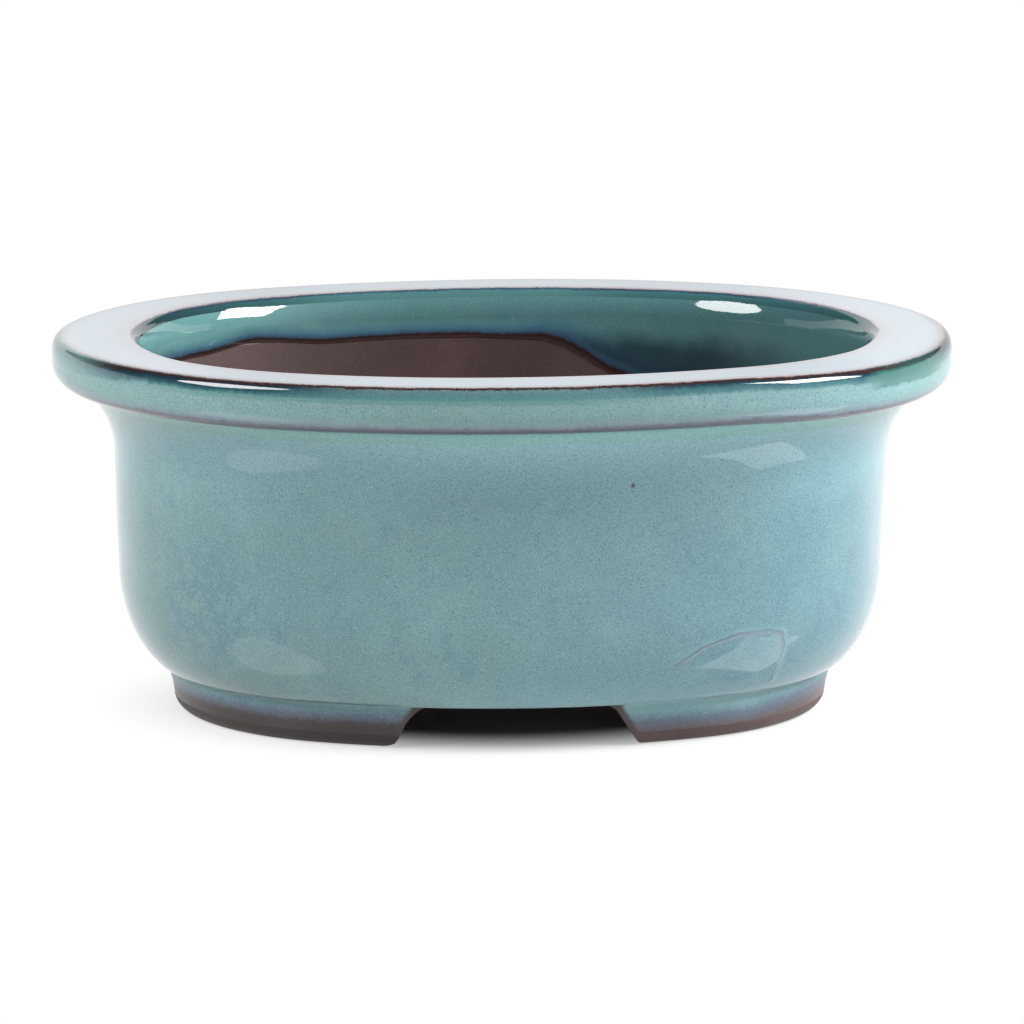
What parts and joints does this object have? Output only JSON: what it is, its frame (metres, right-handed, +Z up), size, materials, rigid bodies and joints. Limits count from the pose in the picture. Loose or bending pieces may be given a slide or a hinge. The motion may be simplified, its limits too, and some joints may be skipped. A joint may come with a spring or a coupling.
{
  "type": "oval glazed planting pot",
  "caption": "Deep oval ceramic planting pot with a broad flat rim, glazed outside, bare clay inside, on low C-shaped feet parted by arches at front and back.",
  "frame": {"origin": "centre of the pot on the surface that its feet rest on", "axes": "+X along the pot's length, +Y across it towards the back, +Z up through the open top"},
  "size_m": [0.2, 0.16, 0.084],
  "materials": {
    "clay": "matt bare dark brown stoneware",
    "glaze": "gloss speckled blue-green glaze"
  },
  "bodies": {
    "root": {"floor_slab": "clay", "wall": "clay", "rim_collar": "clay", "foot_left": "clay", "foot_right": "clay", "glaze_body": "glaze", "glaze_rim": "glaze", "glaze_inside": "glaze", "glaze_foot_left": "glaze", "glaze_foot_right": "glaze"}
  },
  "joints": []
}
